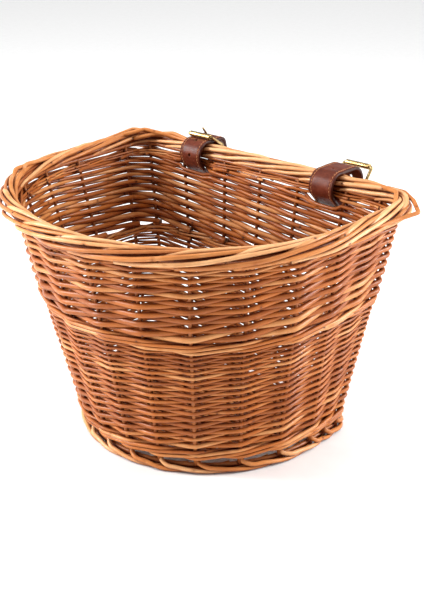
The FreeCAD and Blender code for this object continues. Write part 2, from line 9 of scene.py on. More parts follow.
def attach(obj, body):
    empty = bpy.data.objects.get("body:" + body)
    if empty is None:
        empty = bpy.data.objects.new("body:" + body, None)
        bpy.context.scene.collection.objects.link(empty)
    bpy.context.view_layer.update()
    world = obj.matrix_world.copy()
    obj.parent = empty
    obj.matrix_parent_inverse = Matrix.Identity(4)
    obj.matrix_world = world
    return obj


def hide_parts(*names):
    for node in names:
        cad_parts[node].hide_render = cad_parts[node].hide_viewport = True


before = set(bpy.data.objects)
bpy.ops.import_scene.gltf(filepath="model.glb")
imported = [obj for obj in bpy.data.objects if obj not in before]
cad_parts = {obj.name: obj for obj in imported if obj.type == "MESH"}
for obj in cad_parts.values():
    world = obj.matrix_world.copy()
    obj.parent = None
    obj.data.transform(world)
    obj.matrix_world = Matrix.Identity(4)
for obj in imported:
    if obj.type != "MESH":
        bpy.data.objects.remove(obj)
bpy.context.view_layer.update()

# Looks for the willow handlebar basket: every rod of the weave, the stitched leather straps and
# the brass buckles. Lengths here are millimetres and become metres where a mesh is made.
# +Z is up, the flat back is at +Y, the curved front at -Y and the foot stands on z = 0.

MM = 0.001
chance = random.Random(7)

# ---- the D outline, as in the CAD
RIM_HEIGHT = 238.0
RIM_OVERHANG = 5.0
BACK_LINE = 119.6
FOOT_SET_IN = 28.0
# each pair is the size at the foot and at the rim
HALF_WIDTH = (123, 175)
FRONT_RADIUS = (117, 190)
CORNER_RADIUS = (22, 30)
DEPTH = (186, 278)
FRONT_ARC_HALF_ANGLE = math.radians(30)
STAKE_COUNT = 22
STAKE_SHIFT = -6.0
STAKE_RADIUS = 2.1
# how far some stakes stand from their even places along the rim
STRAP_NUDGE = 9.0
CORNER_DRAW = 9.0
SIDE_DRIFT = 13.0
QUARTER = math.pi / 2


def between(foot_and_rim, share):
    foot, rim = foot_and_rim
    return foot + (rim - foot) * share


def level(share, inset=0.0):
    """Sizes of the D at a share of the height, 0 at the foot and 1 at the rim, drawn in by inset."""
    half = between(HALF_WIDTH, share)
    front_r = between(FRONT_RADIUS, share)
    lean = math.sin(FRONT_ARC_HALF_ANGLE)
    side_r = (half - front_r * lean) / (1 - lean)
    back = BACK_LINE - FOOT_SET_IN * (1 - share)
    return {
        "half": half - inset, "front_r": front_r - inset, "side_r": side_r - inset,
        "corner": max(between(CORNER_RADIUS, share) - inset, 1.0), "back": back - inset,
        "front": back - between(DEPTH, share) + inset,
    }


def d_edges(share, inset=0.0):
    """The eight edges of the D, counter-clockwise from the front, as (kind, data)."""
    plan = level(share, inset)
    front_c = (0.0, plan["front"] + plan["front_r"])
    reach = plan["front_r"] - plan["side_r"]
    angle = FRONT_ARC_HALF_ANGLE
    side_y = front_c[1] - reach * math.cos(angle)
    side_x = reach * math.sin(angle)
    corner_x = plan["half"] - plan["corner"]
    corner_y = plan["back"] - plan["corner"]
    return [
        ("arc", (front_c, plan["front_r"], -QUARTER - angle, -QUARTER + angle)),
        ("arc", ((side_x, side_y), plan["side_r"], -QUARTER + angle, 0.0)),
        ("line", ((plan["half"], side_y), (plan["half"], corner_y))),
        ("arc", ((corner_x, corner_y), plan["corner"], 0.0, QUARTER)),
        ("line", ((corner_x, plan["back"]), (-corner_x, plan["back"]))),
        ("arc", ((-corner_x, corner_y), plan["corner"], QUARTER, 2 * QUARTER)),
        ("line", ((-plan["half"], corner_y), (-plan["half"], side_y))),
        ("arc", ((-side_x, side_y), plan["side_r"], 2 * QUARTER, 3 * QUARTER - angle)),
    ]


def edge_length(edge):
    kind, data = edge
    if kind == "arc":
        return data[1] * (data[3] - data[2])
    return math.dist(data[0], data[1])


def edge_point(edge, part):
    kind, data = edge
    if kind == "arc":
        centre, radius, start, stop = data
        turn = start + (stop - start) * part
        return centre[0] + radius * math.cos(turn), centre[1] + radius * math.sin(turn)
    (x0, y0), (x1, y1) = data
    return x0 + (x1 - x0) * part, y0 + (y1 - y0) * part


RIM = d_edges(1.0, RIM_OVERHANG)
RIM_LENGTH = sum(edge_length(edge) for edge in RIM)
STEP = RIM_LENGTH / STAKE_COUNT
BACK_MIDDLE = sum(edge_length(edge) for edge in RIM[:4]) + edge_length(RIM[4]) / 2
RIGHT_BACK_CORNER = sum(edge_length(edge) for edge in RIM[:3]) + edge_length(RIM[3]) / 2


def spot(run):
    """The edge and the part of it at a run along the rim."""
    run %= RIM_LENGTH
    for index, edge in enumerate(RIM):
        if run <= edge_length(edge):
            return index, run / edge_length(edge)
        run -= edge_length(edge)
    return len(RIM) - 1, 1.0


def stake_run(i):
    """How far along the rim stake i stands: evenly, but for those moved as in the CAD."""
    moved = {2: STRAP_NUDGE, 3: CORNER_DRAW, 4: -CORNER_DRAW, STAKE_COUNT - 4: SIDE_DRIFT / 2,
             STAKE_COUNT - 2: -STRAP_NUDGE}
    moved.update({k: SIDE_DRIFT for k in range(5, STAKE_COUNT - 4)})
    nudge = moved.get(i % STAKE_COUNT, 0.0)
    return BACK_MIDDLE - STAKE_SHIFT + i * STEP + nudge


def wall_point(place, z, out=0.0):
    """A point of the wall at a spot and a height, moved outwards from its middle."""
    share = z / RIM_HEIGHT
    edges = d_edges(share, RIM_OVERHANG * share - out)
    return np.array([*edge_point(edges[place[0]], place[1]), z])


STAKES = [spot(stake_run(i)) for i in range(STAKE_COUNT)]
# how far some stakes bow out at mid height
STAKE_PUSH = {13: 5.0, 14: 1.0, 15: 1.5, 8: 2.0}


def stake_point(i, z, out=0.0):
    """A point at stake i; a few stakes stand a little proud of the even curve."""
    i %= STAKE_COUNT
    push = STAKE_PUSH.get(i, 0.0) * math.sin(math.pi * min(max(z / RIM_HEIGHT, 0.0), 1.0))
    return wall_point(STAKES[i], z, out + push)


# ---- straps' routes, as in the CAD
RIM_MIDDLE = np.array([0.0, BACK_LINE, RIM_HEIGHT])
STRAP_X = {"left": -91.5, "right": 76.0}
STRAP_HALF = 13.5
HALF_LEATHER = 1.5
WIRE_RADIUS = 1.6
LEATHER_GAP = 0.3
FOLD_RADIUS = WIRE_RADIUS + LEATHER_GAP + HALF_LEATHER
# each circle of a route is its centre, from the middle of the rim border, and its radius
BORDER_WRAP = ((-3.0, -4.5), 12.2 + HALF_LEATHER)
BAR = ((12.7, -20.0), 12.9 + HALF_LEATHER)
HEEL = {"left": (17.3, 2.4), "right": (32.0, -11.5)}
FRAME_TURN = {"left": -32.9, "right": -128.0}
PRONG_TURN = {"left": -53.0, "right": 95.0}


def tangent(first, second):
    """The turn at which a left-turning belt leaves one circle for the next."""
    (c0, r0), (c1, r1) = first, second
    heading = math.atan2(c1[1] - c0[1], c1[0] - c0[0])
    return heading - math.acos((r0 - r1) / math.dist(c0, c1))


def belt(circles, first_turn, last_turn, lead_in, lead_out, pitch=1.2):
    """The middle line of a belt round circles: points and outward directions in the YZ plane."""
    turns = [first_turn] + [tangent(a, b) for a, b in zip(circles, circles[1:])] + [last_turn]
    spots = []

    def on(circle, turn):
        (cy, cz), radius = circle
        return np.array([cy + radius * math.cos(turn), cz + radius * math.sin(turn)])

    def straight(start, stop, turn):
        count = max(2, int(np.linalg.norm(stop - start) / pitch))
        for k in range(count):
            spots.append((start + (stop - start) * k / count, turn))

    ahead = np.array([-math.sin(first_turn), math.cos(first_turn)])
    start = on(circles[0], first_turn)
    if lead_in:
        straight(start - ahead * lead_in, start, first_turn)
    for i, circle in enumerate(circles):
        begin, end = turns[i], turns[i + 1]
        while end < begin:
            end += 2 * math.pi
        count = max(3, int(circle[1] * (end - begin) / pitch))
        for k in range(count):
            turn = begin + (end - begin) * k / count
            spots.append((on(circle, turn), turn))
        if i + 1 < len(circles):
            straight(on(circle, end), on(circles[i + 1], end), end)
    stop = on(circles[-1], last_turn)
    if lead_out:
        last = stop + np.array([-math.sin(last_turn), math.cos(last_turn)]) * lead_out
        straight(stop, last, last_turn)
        stop = last
    spots.append((stop, last_turn))
    points = np.array([p for p, _ in spots])
    outward = np.array([(math.cos(turn), math.sin(turn)) for _, turn in spots])
    return points, outward


LEFT_TAIL = (HEEL["left"], FOLD_RADIUS + 2 * HALF_LEATHER + LEATHER_GAP)
LEFT_FOLD = (HEEL["left"], FOLD_RADIUS)
RIGHT_CURVE = ((19.3, -6.0), 15.0)
RIGHT_TAIL_TURN = math.radians(30)
ROUTES = {
    "left": belt([LEFT_TAIL, BORDER_WRAP, BAR, LEFT_FOLD], tangent(BAR, LEFT_FOLD), math.pi, 15, 7),
    "right": belt([(HEEL["right"], FOLD_RADIUS), RIGHT_CURVE, BORDER_WRAP, BAR],
                  math.pi, RIGHT_TAIL_TURN, 8, 14),
}
# the seams start short of the leather's ends and stop under the bar
SEAM_END_TURN = math.radians(-20)
RIGHT_SEAM_START_TURN = math.radians(14)
SEAM_PITCH = 0.45
SEAMS = {
    "left": belt([LEFT_TAIL, BORDER_WRAP, BAR], tangent(BAR, LEFT_FOLD), SEAM_END_TURN,
                 12, 0, SEAM_PITCH),
    "right": belt([RIGHT_CURVE, BORDER_WRAP, BAR], RIGHT_SEAM_START_TURN, SEAM_END_TURN,
                  0, 0, SEAM_PITCH),
}


# ---- meshes
def new_object(name, verts, faces, materials, smooth=True, slots=None):
    """A mesh object from millimetre points, with its faces' material numbers."""
    mesh = bpy.data.meshes.new(name)
    mesh.from_pydata((np.asarray(verts) * MM).tolist(), [], faces)
    for material in materials:
        mesh.materials.append(material)
    if slots is not None:
        mesh.polygons.foreach_set("material_index", slots)
    mesh.polygons.foreach_set("use_smooth", [smooth] * len(mesh.polygons))
    mesh.update()
    obj = bpy.data.objects.new(name, mesh)
    bpy.context.scene.collection.objects.link(obj)
    return obj


TINY = 1e-12


def tube_rings(points, radii, sides, across=None):
    """Rings of points square to a line. across fixes where each ring starts."""
    ahead = np.gradient(points, axis=0)
    ahead /= np.linalg.norm(ahead, axis=1)[:, None] + TINY
    if across is None:
        steep = np.abs(ahead[:, 2]).mean() > 0.7
        across = (1.0, 0.0, 0.0) if steep else (0.0, 0.0, 1.0)
    first = np.cross(ahead, across)
    first /= np.linalg.norm(first, axis=1)[:, None] + TINY
    second = np.cross(ahead, first)
    turns = np.arange(sides) * 2 * math.pi / sides
    spread = (np.cos(turns)[None, :, None] * first[:, None, :]
              + np.sin(turns)[None, :, None] * second[:, None, :])
    return points[:, None, :] + radii[:, None, None] * spread


def run_along(points):
    """The distance along a line at each of its points."""
    return np.concatenate([[0.0], np.cumsum(np.linalg.norm(np.diff(points, axis=0), axis=1))])


def tube_faces(count, sides, closed=False):
    """The faces of a tube of rings: joined end to end if it is closed, else with two ends."""
    faces = []
    for k in range(count if closed else count - 1):
        here, there = k * sides, (k + 1) % count * sides
        for i in range(sides):
            j = (i + 1) % sides
            faces.append([here + i, here + j, there + j, there + i])
    if not closed:
        faces.append(list(range(sides))[::-1])
        faces.append([(count - 1) * sides + i for i in range(sides)])
    return faces


# each rod takes its grain from somewhere else along this length
GRAIN_REACH = 5000


def rods_object(name, rods, materials, sides=8):
    """Many round rods as one mesh. A rod is its line, its radii and its tint. The attribute
    grain says where each point lies in its rod's wood: across, across and along."""
    verts, faces, slots, grain, tint = [], [], [], [], []
    base = 0
    turns = np.arange(sides) * 2 * math.pi / sides
    around = np.stack([np.cos(turns), np.sin(turns)], 1)
    for line, radii, rod_tint in rods:
        count = len(line)
        radii = np.broadcast_to(np.asarray(radii, float), (count,))
        run = run_along(line) + chance.random() * GRAIN_REACH
        coords = np.concatenate([around[None] * radii[:, None, None],
                                 np.repeat(run[:, None, None], sides, 1)], 2)
        verts += [tube_rings(line, radii, sides).reshape(-1, 3), line[[0, -1]]]
        grain += [coords.reshape(-1, 3), np.array([[0, 0, run[0]], [0, 0, run[-1]]])]
        tint.append(np.full(count * sides + 2, rod_tint))
        index = np.arange(count * sides).reshape(count, sides) + base
        following = np.roll(index, -1, 1)
        side = np.stack([index[:-1], following[:-1], following[1:], index[1:]], -1)
        faces.extend(side.reshape(-1, 4).tolist())
        slots += [0] * ((count - 1) * sides)
        near, far = base + count * sides, base + count * sides + 1
        for k in range(sides):
            faces.append([int(following[0, k]), int(index[0, k]), near])
            faces.append([int(index[-1, k]), int(following[-1, k]), far])
        slots += [1] * (2 * sides)
        base += count * sides + 2
    obj = new_object(name, np.concatenate(verts), faces, materials, slots=slots)
    for label, kind, field, values in (
            ("grain", "FLOAT_VECTOR", "vector", grain), ("tint", "FLOAT", "value", tint)):
        layer = obj.data.attributes.new(label, kind, "POINT")
        layer.data.foreach_set(field, np.concatenate(values).astype(np.float32).ravel())
    return obj


# ---- materials
def fill_ramp(node, stops):
    """Give a colour ramp its (position, colour) stops."""
    bar = node.color_ramp
    while len(bar.elements) < len(stops):
        bar.elements.new(0.5)
    for element, (position, colour) in zip(bar.elements, stops):
        element.position = position
        element.color = (*colour, 1.0)


class Tree:
    """A material's nodes, with short ways to add and join them."""

    def __init__(self, name):
        self.material = bpy.data.materials.new(name)
        self.material.use_nodes = True
        self.tree = self.material.node_tree
        self.shader = self.tree.nodes["Principled BSDF"]

    def add(self, kind, inputs=None, **settings):
        node = self.tree.nodes.new("ShaderNode" + kind)
        for key, value in settings.items():
            setattr(node, key, value)
        for key, value in (inputs or {}).items():
            self.put(node.inputs[key], value)
        return node

    def put(self, socket, value):
        if isinstance(value, bpy.types.NodeSocket):
            self.tree.links.new(value, socket)
        else:
            socket.default_value = value

    def maths(self, operation, *values):
        node = self.add("Math", operation=operation)
        for socket, value in zip(node.inputs, values):
            self.put(socket, value)
        return node.outputs[0]

    def scaled(self, vector, scale):
        node = self.add("VectorMath", operation="MULTIPLY")
        self.put(node.inputs[0], vector)
        self.put(node.inputs[1], scale)
        return node.outputs[0]

    def noise(self, vector, scale, detail=3.0, rough=0.55):
        node = self.add("TexNoise", {"Vector": vector, "Scale": scale,
                                     "Detail": detail, "Roughness": rough})
        return node.outputs["Fac"]

    def cells(self, vector, scale):
        node = self.add("TexVoronoi", {"Vector": vector, "Scale": scale})
        return node.outputs["Distance"]

    def ramp(self, fac, stops):
        node = self.add("ValToRGB", {"Fac": fac})
        fill_ramp(node, stops)
        return node.outputs["Color"]

    def mix(self, fac, first, second, blend="MIX"):
        # a Mix node of colours has its factor, colours and result at these places
        factor, colours, result = 0, (6, 7), 2
        node = self.add("Mix", data_type="RGBA", blend_type=blend)
        self.put(node.inputs[factor], fac)
        for index, colour in zip(colours, (first, second)):
            is_socket = isinstance(colour, bpy.types.NodeSocket)
            self.put(node.inputs[index], colour if is_socket else (*colour, 1.0))
        return node.outputs[result]

    def spread(self, value, low, high, to_low=0.0, to_high=1.0):
        node = self.add("MapRange", {"Value": value, "From Min": low, "From Max": high,
                                     "To Min": to_low, "To Max": to_high})
        return node.outputs["Result"]

    def bump(self, height, strength, distance):
        node = self.add("Bump", {"Height": height, "Strength": strength, "Distance": distance})
        return node.outputs["Normal"]

    def finish(self, **sockets):
        for key, value in sockets.items():
            self.put(self.shader.inputs[key.replace("_", " ")], value)
        return self.material


def willow(name, pale, honey, brown):
    """Varnished buff willow: streaks along the rod, small dark buds, a warm uneven varnish and painted
    shade that darkens the colour in the crevices between rods.
    """
    t = Tree(name)
    grain = t.add("Attribute", attribute_name="grain").outputs["Vector"]
    tint = t.add("Attribute", attribute_name="tint").outputs["Fac"]
    streaks = t.noise(t.scaled(grain, (1.0, 1.0, 0.045)), 1.5, 5.0, 0.62)
    patches = t.noise(t.scaled(grain, (0.25, 0.25, 1.0)), 0.045, 3.0)
    fibres = t.noise(t.scaled(grain, (1.0, 1.0, 0.02)), 5.5, 2.0)
    tone = t.maths("ADD", t.maths("MULTIPLY", tint, 0.72), t.maths("MULTIPLY", patches, 0.46))
    colour = t.ramp(tone, [(0.16, pale), (0.5, honey), (0.92, brown)])
    colour = t.mix(t.spread(streaks, 0.48, 0.72, 0.0, 0.55), colour,
                   t.mix(1.0, colour, (0.78, 0.52, 0.34), "MULTIPLY"))
    colour = t.mix(t.spread(fibres, 0.52, 0.8, 0.0, 0.3), colour, pale)
    buds = t.cells(grain, 1 / 15)
    bud = t.spread(buds, 0.05, 0.1, 1.0, 0.0)
    halo = t.spread(buds, 0.08, 0.22, 0.5, 0.0)
    colour = t.mix(halo, colour, brown)
    colour = t.mix(bud, colour, (0.10, 0.035, 0.012))
    # painted shade: where the ambient-occlusion node finds nearby rods, the colour is darkened towards
    # deep red-brown, standing in for the shade that falls in the crevices of the weave
    occlusion_for_painted_shade = t.add("AmbientOcclusion", {"Distance": 0.011}, samples=6).outputs["AO"]
    painted_crevice_shade = t.spread(occlusion_for_painted_shade, 0.12, 0.86, 1.0, 0.0)
    colour = t.mix(painted_crevice_shade, colour, t.mix(1.0, colour, (0.28, 0.075, 0.012), "MULTIPLY"))
    height = t.maths("ADD", t.maths("MULTIPLY", streaks, 0.7), t.maths("MULTIPLY", bud, 0.8))
    return t.finish(
        Base_Color=colour, Roughness=t.spread(streaks, 0.3, 0.75, 0.32, 0.52),
        Normal=t.bump(height, 0.35, 0.00035),
        Specular_IOR_Level=0.2, Coat_Weight=0.13, Coat_Roughness=0.14)


def willow_end(name):
    """A cut rod end: dark wood with a ring of rind and a darker pith."""
    t = Tree(name)
    grain = t.add("Attribute", attribute_name="grain").outputs["Vector"]
    rings = t.noise(grain, 1.9, 4.0)
    colour = t.ramp(rings, [(0.3, (0.055, 0.02, 0.008)), (0.7, (0.22, 0.095, 0.038))])
    return t.finish(Base_Color=colour, Roughness=0.75, Normal=t.bump(rings, 0.5, 0.0004))


def leather(name, middle_x):
    """Oxblood harness leather with pores, creases, rubbed high spots and burnished dark edges."""
    t = Tree(name)
    place = t.add("TexCoord").outputs["Object"]
    pores = t.cells(place, 1500.0)
    wrinkle = t.noise(t.scaled(place, (0.6, 1.0, 1.0)), 620.0, 5.0, 0.6)
    cloud = t.noise(place, 130.0, 3.0)
    sideways = t.add("SeparateXYZ", {"Vector": place}).outputs["X"]
    rim = t.maths("ABSOLUTE", t.maths("SUBTRACT", sideways, middle_x * MM))
    edge = t.spread(rim, 0.0117, 0.0136)
    colour = t.ramp(cloud, [(0.3, (0.075, 0.012, 0.005)), (0.55, (0.13, 0.024, 0.010)),
                            (0.78, (0.20, 0.045, 0.019))])
    colour = t.mix(t.spread(wrinkle, 0.5, 0.72, 0.0, 0.5), colour, (0.23, 0.06, 0.026))
    colour = t.mix(t.spread(pores, 0.0, 0.25, 0.45, 0.0), colour, (0.03, 0.007, 0.004))
    colour = t.mix(t.maths("MULTIPLY", edge, 0.85), colour, (0.022, 0.006, 0.004))
    height = t.maths("ADD", t.maths("MULTIPLY", wrinkle, 0.7), t.maths("MULTIPLY", pores, 0.45))
    return t.finish(
        Base_Color=colour, Roughness=t.spread(wrinkle, 0.35, 0.7, 0.3, 0.5),
        Normal=t.bump(height, 0.45, 0.00025), Specular_IOR_Level=0.17,
        Coat_Weight=0.05, Coat_Roughness=0.3)


def thread():
    """Waxed tan thread with the twist of its three plies."""
    t = Tree("strap_thread")
    grain = t.add("Attribute", attribute_name="grain").outputs["Vector"]
    wave = t.add("TexWave", {"Vector": grain, "Scale": 0.55, "Distortion": 1.2, "Detail": 2.0},
                 bands_direction="DIAGONAL").outputs["Fac"]
    colour = t.ramp(wave, [(0.2, (0.36, 0.12, 0.035)), (0.75, (0.66, 0.27, 0.09))])
    return t.finish(Base_Color=colour, Roughness=0.55, Normal=t.bump(wave, 0.7, 0.0002),
                    Sheen_Weight=0.2)


def brass(name, bright, dull):
    """Old lacquered brass: rubbed bright, with brown tarnish patches and fine scratches."""
    t = Tree(name)
    place = t.add("TexCoord").outputs["Object"]
    patches = t.noise(place, 150.0, 3.0, 0.5)
    scratches = t.noise(t.scaled(place, (0.12, 1.0, 1.0)), 1700.0, 3.0, 0.7)
    specks = t.cells(place, 900.0)
    colour = t.ramp(patches, [(0.3, dull), (0.55, bright), (0.85, bright)])
    colour = t.mix(t.spread(specks, 0.0, 0.12, 0.4, 0.0), colour, (0.14, 0.07, 0.022))
    return t.finish(
        Base_Color=colour, Metallic=1.0, Roughness=t.spread(patches, 0.3, 0.7, 0.34, 0.22),
        Normal=t.bump(scratches, 0.15, 0.00006))


# pale, honey and brown willow of each part
WEAVE_COLOURS = ((0.88, 0.48, 0.20), (0.47, 0.135, 0.023), (0.22, 0.043, 0.006))
WALE_COLOURS = ((0.88, 0.49, 0.21), (0.51, 0.157, 0.03), (0.22, 0.043, 0.006))
BORDER_COLOURS = ((0.93, 0.56, 0.28), (0.62, 0.228, 0.06), (0.30, 0.066, 0.011))
STICK_COLOURS = ((0.50, 0.19, 0.055), (0.35, 0.11, 0.028), (0.18, 0.042, 0.009))
cut_end = willow_end("willow_cut_end")
weave_willow = [willow("willow_weave", *WEAVE_COLOURS), cut_end]
wale_willow = [willow("willow_wale", *WALE_COLOURS), cut_end]
border_willow = [willow("willow_border", *BORDER_COLOURS), cut_end]
stick_willow = [willow("willow_sticks", *STICK_COLOURS), cut_end]
thread_material = thread()
brass_roller = brass("brass_roller", (0.52, 0.37, 0.155), (0.27, 0.165, 0.062))
brass_frame = brass("brass_frame", (0.50, 0.35, 0.16), (0.22, 0.135, 0.055))


# ---- willow
WAVES = 3
WHOLE_TURN = 6.28


def wobble(count, size):
    """Gentle random unevenness along a rod, as a sum of a few sine waves."""
    along = np.linspace(0, 1, count)
    total = np.zeros(count)
    for k in range(WAVES):
        turns = chance.uniform(1.5, 7.0) * (k + 1)
        phase = chance.uniform(0, WHOLE_TURN)
        total += math.sin(1 + k) * np.sin(along * turns * 2 + phase) / (k + 1)
    return total * size


def shake(size):
    return chance.uniform(-size, size)


def uneven(middle, spread):
    """A tint about a middle one: a rod's tint runs from 0, pale, to 1, brown."""
    return middle + shake(spread)


# where points go along a bend and along a run
BEND_PARTS = (0.0, 0.25, 0.5, 0.75, 1.0)
RUN_PARTS = (0.33, 0.5, 0.67)


def rounded(corners, radii, bend):
    """Nearly straight runs between corners, with each corner rounded; radii follow along. bend
    is the part of each run that its corners take up."""
    line, sizes = [], []
    last = len(corners) - 1
    for k in range(last + 1):
        here = corners[k]
        if 0 < k < last:
            before = here + (corners[k - 1] - here) * bend
            after = here + (corners[k + 1] - here) * bend
            for part in BEND_PARTS:
                rest = 1 - part
                line.append(rest ** 2 * before + 2 * part * rest * here + part ** 2 * after)
                sizes.append(radii[k])
        else:
            line.append(here)
            sizes.append(radii[k])
        if k < last:
            for part in RUN_PARTS:
                line.append(here + (corners[k + 1] - here) * part)
                sizes.append(radii[k] + (radii[k + 1] - radii[k]) * part)
    return np.array(line), np.array(sizes)


# a strap crosses the wall in a straight run: a point of it, and the way that faces away from it
SLOT_TURN = tangent(BORDER_WRAP, BAR)
SLOT_OUT = np.array([0.0, math.cos(SLOT_TURN), math.sin(SLOT_TURN)])
SLOT_POINT = RIM_MIDDLE + np.array([0.0, *BORDER_WRAP[0]]) + BORDER_WRAP[1] * SLOT_OUT
# rods are moved up to this far from the strap, and beside it over this width, easing off
PARTED = 13.0
PARTED_BESIDE = 7.0
PARTED_EASE = 6.0
ROD_CLEARANCE = 1.1
# the part of the wall that the straps pass through
SLOT_BACK = 86
SLOT_HEIGHTS = (190, 233)


def part_round_straps(line, radius):
    """Push a rod's points up or down where a strap passes through the wall."""
    line = line.copy()
    for x in STRAP_X.values():
        away = np.abs(line[:, 0] - x)
        near = np.flatnonzero((away < STRAP_HALF + PARTED_BESIDE) & (line[:, 1] > SLOT_BACK)
                              & (line[:, 2] > SLOT_HEIGHTS[0]) & (line[:, 2] < SLOT_HEIGHTS[1]))
        if not len(near):
            continue
        for group in np.split(near, np.flatnonzero(np.diff(near) > 1) + 1):
            gap = (line[group] - SLOT_POINT) @ SLOT_OUT
            side = 1.0 if gap.mean() > 0 else -1.0
            gap = gap * side
            need = HALF_LEATHER + radius + ROD_CLEARANCE
            low = min(gap.min(), need)
            pushed = need + (gap - low) * (PARTED - need) / (PARTED - low)
            pushed = np.where(gap < PARTED, np.maximum(pushed, gap), gap)
            share = np.clip((STRAP_HALF + PARTED_BESIDE - away[group]) / PARTED_EASE, 0, 1)
            share = share * share * (3 - 2 * share)
            line[group] += SLOT_OUT[None, :] * (side * share * (pushed - gap))[:, None]
    return line


def woven(corners, radii, bend, unevenness, body_tint, tint_spread):
    """A rod of the wall through its corners, parted round the straps."""
    line, sizes = rounded(corners, radii, bend)
    line[:, 2] += wobble(len(line), unevenness)
    line = part_round_straps(line, float(np.mean(sizes)))
    return line, sizes, uneven(body_tint, tint_spread)


# the pitch of a course's last row over that of its first, as the weavers taper
ROW_TAPER = 0.57
# the part of its radius by which a weaver stands off a stake: it is pressed on to it
PRESSED = 0.55
# how far a row drops outside the stakes and rises inside them
ROW_SLANT = 0.6


def randing(name, low, high, count, first_stake, body_tint, fullness):
    """French randing: one weaver starts at each stake and climbs to the right, in and out.
    fullness is a weaver's radius over the pitch of its rows."""
    pitches = np.linspace(1.0, ROW_TAPER, count)
    pitches *= (high - low) / pitches.sum()
    heights = low + np.cumsum(pitches) - pitches / 2
    rods = []
    for first in range(first_stake, first_stake + STAKE_COUNT):
        thick = chance.uniform(0.93, 1.07)
        corners, radii = [], []
        for n in range(count):
            radius = pitches[n] * fullness * thick
            side = -1.0 if n % 2 == 0 else 1.0
            out = side * (STAKE_RADIUS + radius * PRESSED) + shake(0.3)
            z = heights[n] - side * ROW_SLANT + shake(0.32)
            corners.append(stake_point(first + n, z, out))
            radii.append(radius)
        before = stake_point(first - 1, heights[0], -STAKE_RADIUS)
        butt = corners[0] + (before - corners[0]) * chance.uniform(0.14, 0.2)
        butt[2] = corners[0][2] - ROW_SLANT
        after = stake_point(first + count, heights[-1], -STAKE_RADIUS)
        tip = corners[-1] + (after - corners[-1]) * chance.uniform(0.15, 0.3)
        inwards = stake_point(first + count - 1, heights[-1], -12.0) - corners[-1]
        tip += inwards * chance.uniform(0.1, 0.5)
        corners = [butt] + corners + [tip]
        radii = [radii[0] * 1.03] + radii + [radii[-1] * 0.8]
        rods.append(woven(corners, radii, 0.15, 0.25, body_tint, 0.3))
    return rods_object(name, rods, weave_willow)


WALE_PIECE_STAKES = 9
# where a wale rod's ends are tucked in
WALE_INSIDE = -7.0


def waling(name, low, high, diameter, body_tint):
    """Three-rod waling: each strand passes outside two stakes and inside the third."""
    rods = []
    rounds = (high - low) / (2 * diameter)
    total = int(STAKE_COUNT * rounds)
    for strand in range(3):
        begin = strand
        while begin < total:
            # a piece runs from one inside pass to another, so that both of its ends lie inside
            stop = min(begin + WALE_PIECE_STAKES, total + 2)
            corners, radii = [], []
            for i in range(begin, stop + 1):
                phase = (i - strand) % 3
                climb = diameter + (high - low - 2 * diameter) * min(i / total, 1.0)
                part = (i - begin) / max(1, stop - begin)
                radius = diameter * (0.56 - 0.12 * part)
                # of the two passes outside, the first lies lower and further out
                if phase == 0:
                    out, lift = -(STAKE_RADIUS + radius), 0.0
                else:
                    out = STAKE_RADIUS + radius + (0.9 if phase == 1 else 0.2)
                    lift = diameter * (-0.52 if phase == 1 else 0.52)
                z = low + climb + lift + shake(0.15)
                corners.append(stake_point(i, z, out + shake(0.15)))
                radii.append(radius)
            first, last = corners[0], corners[-1]
            head = first + (stake_point(begin - 1, first[2], WALE_INSIDE) - first) * 0.16
            tail = last + (stake_point(stop + 1, last[2], WALE_INSIDE) - last) * 0.2
            corners = [head] + corners + [tail]
            radii = [radii[0]] + radii + [radii[-1] * 0.9]
            rods.append(woven(corners, radii, 0.2, 0.18, body_tint, 0.25))
            begin = stop
    return rods_object(name, rods, wale_willow)


def spline(knots, count):
    """A smooth line through (position, value, value...) knots, sampled evenly."""
    knots = np.asarray(knots, float)
    where = np.linspace(knots[0, 0], knots[-1, 0], count)
    slopes = np.gradient(knots[:, 1:], knots[:, 0], axis=0)
    index = np.clip(np.searchsorted(knots[:, 0], where) - 1, 0, len(knots) - 2)
    gap = knots[index + 1, 0] - knots[index, 0]
    part = ((where - knots[index, 0]) / gap)[:, None]
    gap = gap[:, None]
    h00 = 2 * part ** 3 - 3 * part ** 2 + 1
    h10 = part ** 3 - 2 * part ** 2 + part
    h01 = 3 * part ** 2 - 2 * part ** 3
    h11 = part ** 3 - part ** 2
    values = (h00 * knots[index, 1:] + h10 * gap * slopes[index]
              + h01 * knots[index + 1, 1:] + h11 * gap * slopes[index + 1])
    return where, values


# how far along the rim the right back corner's rods are drawn in
CORNER_REACH = 24


def ring_strand(start_run, knots, share, height, radii, samples_a_step=9, drawn_in=0.0):
    """A rod laid along a border. Knots are (steps from its start, out, up) about the middle.
    drawn_in is how far it draws in where it passes the right back corner."""
    steps = knots[-1][0] - knots[0][0]
    count = max(6, int(steps * samples_a_step))
    where, values = spline(knots, count)
    line = []
    for position, (out, up) in zip(where, values):
        run = start_run + position * STEP
        index, part = spot(run)
        from_corner = run % RIM_LENGTH - RIGHT_BACK_CORNER
        out = out - drawn_in * math.exp(-(from_corner / CORNER_REACH) ** 2)
        x, y = edge_point(d_edges(share, -out)[index], part)
        line.append((x, y, height + up))
    sizes = np.interp(where, [where[0], where[-1]], radii)
    return np.array(line), sizes


